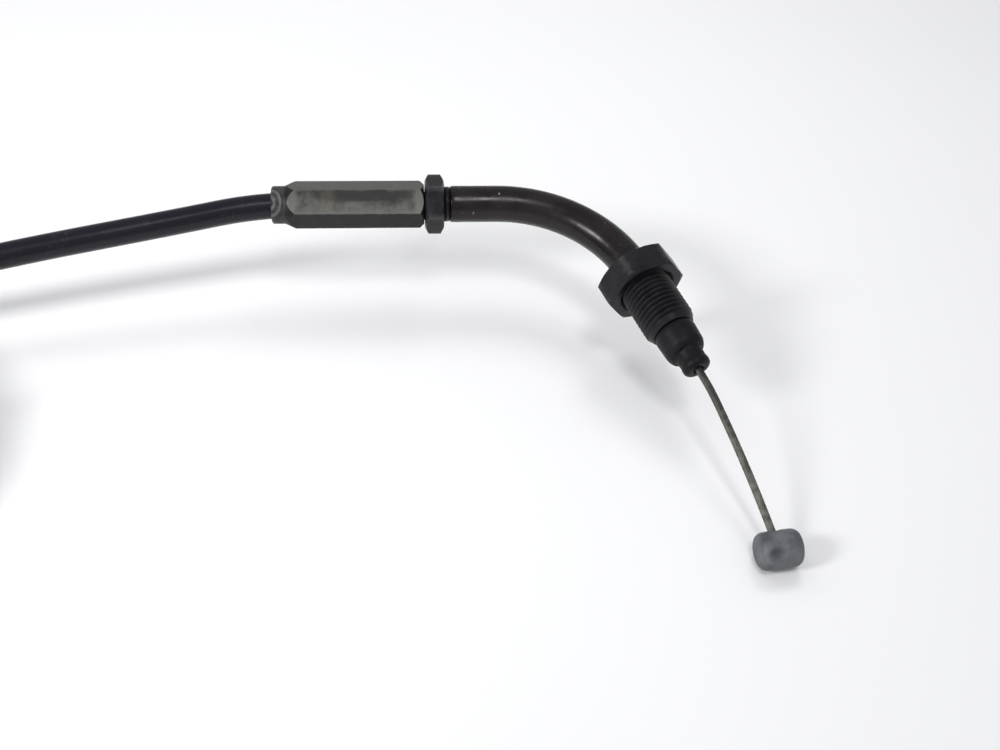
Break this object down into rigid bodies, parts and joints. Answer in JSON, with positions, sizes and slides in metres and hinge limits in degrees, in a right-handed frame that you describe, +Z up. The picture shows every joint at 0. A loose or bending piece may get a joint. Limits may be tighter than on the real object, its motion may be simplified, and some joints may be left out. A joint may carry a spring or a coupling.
{
  "type": "throttle cable",
  "caption": "Motorcycle throttle cable with an elbow end, a threaded sleeve and jam nut, an in-line hexagonal adjuster, a coiled housing and a barrel nipple on each end of its inner wire.",
  "frame": {"origin": "On the surface that the cable lies on, below the middle of the elbow end and its adjuster, measured without the free housing and its far end.", "axes": "+X along the adjuster towards the elbow, +Z up from the surface, -Y towards the handlebar nipple"},
  "size_m": [0.2149, 0.1333, 0.0276],
  "materials": {
    "zinc": "dull grey die-cast zinc",
    "wire_strand": "greasy twisted steel strand",
    "black_rubber": "satin black rubber",
    "black_steel": "satin black plating",
    "lacquered_tube": "satin brown-black lacquer, chipped",
    "worn_barrel": "worn black plating showing grey-green metal",
    "liner_plastic": "white slippery liner",
    "plated_steel": "zinc-plated steel",
    "conduit_steel": "bare steel conduit",
    "housing_jacket": "glossy black extruded jacket",
    "tie_plastic": "black nylon band"
  },
  "bodies": {
    "housing": {"housing_end_cap": "plated_steel", "conduit_end": "conduit_steel", "liner_end": "liner_plastic", "adjuster_inner_wire": "wire_strand", "housing_lead": "housing_jacket", "housing_coil": "housing_jacket", "housing_tail": "housing_jacket", "coil_tie_near": "tie_plastic", "coil_tie_far": "tie_plastic", "carb_threaded_end": "plated_steel", "carb_boot": "black_rubber"},
    "barrel": {"adjuster_barrel": "worn_barrel"},
    "elbow": {"elbow_stud": "black_steel", "elbow_tube": "lacquered_tube", "elbow_liner": "liner_plastic", "elbow_inner_wire": "wire_strand", "threaded_sleeve": "black_steel", "seal_boot": "black_rubber"},
    "adjuster_lock": {"lock_nut": "black_steel"},
    "casing_lock": {"mounting_nut": "black_steel"},
    "handlebar_wire": {"handlebar_inner_wire": "wire_strand", "handlebar_nipple": "zinc"},
    "carb_wire": {"carb_inner_wire": "wire_strand", "carb_nipple": "zinc"},
    "carb_rear_lock": {"carb_rear_nut": "plated_steel"},
    "carb_front_lock": {"carb_front_nut": "plated_steel"}
  },
  "joints": [
    {"name": "barrel_turn", "type": "hinge", "parent": "housing", "child": "barrel", "pos_m": [-0.0285, 0.0351, 0.0221], "axis": [-1, 0, 0], "range_deg": [0, 2880]},
    {"name": "elbow_advance", "type": "slide", "parent": "housing", "child": "elbow", "axis": [1, 0, 0], "range_m": [0, 0.008]},
    {"name": "lock_nut_turn", "type": "hinge", "parent": "elbow", "child": "adjuster_lock", "pos_m": [-0.01625, 0.0351, 0.0221], "axis": [1, 0, 0], "range_deg": [-90, 0]},
    {"name": "mounting_nut_run", "type": "slide", "parent": "elbow", "child": "casing_lock", "axis": [0.3616, -0.917, -0.1683], "range_m": [0, 0.009]},
    {"name": "inner_wire_pull", "type": "slide", "parent": "elbow", "child": "handlebar_wire", "axis": [0.3616, -0.917, -0.1683], "range_m": [0, 0.022]},
    {"name": "carb_wire_draw", "type": "slide", "parent": "housing", "child": "carb_wire", "axis": [0.8192, -0.5736, 0], "range_m": [-0.022, 0]},
    {"name": "carb_rear_nut_run", "type": "slide", "parent": "housing", "child": "carb_rear_lock", "axis": [0.8192, -0.5736, 0], "range_m": [-0.002, 0.001]},
    {"name": "carb_front_nut_run", "type": "slide", "parent": "housing", "child": "carb_front_lock", "axis": [0.8192, -0.5736, 0], "range_m": [-0.002, 0.002]}
  ],
  "couplings": [
    {"joint": "barrel_turn", "follows": "elbow_advance", "rad_per_m": 6283.2},
    {"joint": "carb_wire_draw", "follows": "inner_wire_pull", "ratio": -1}
  ]
}
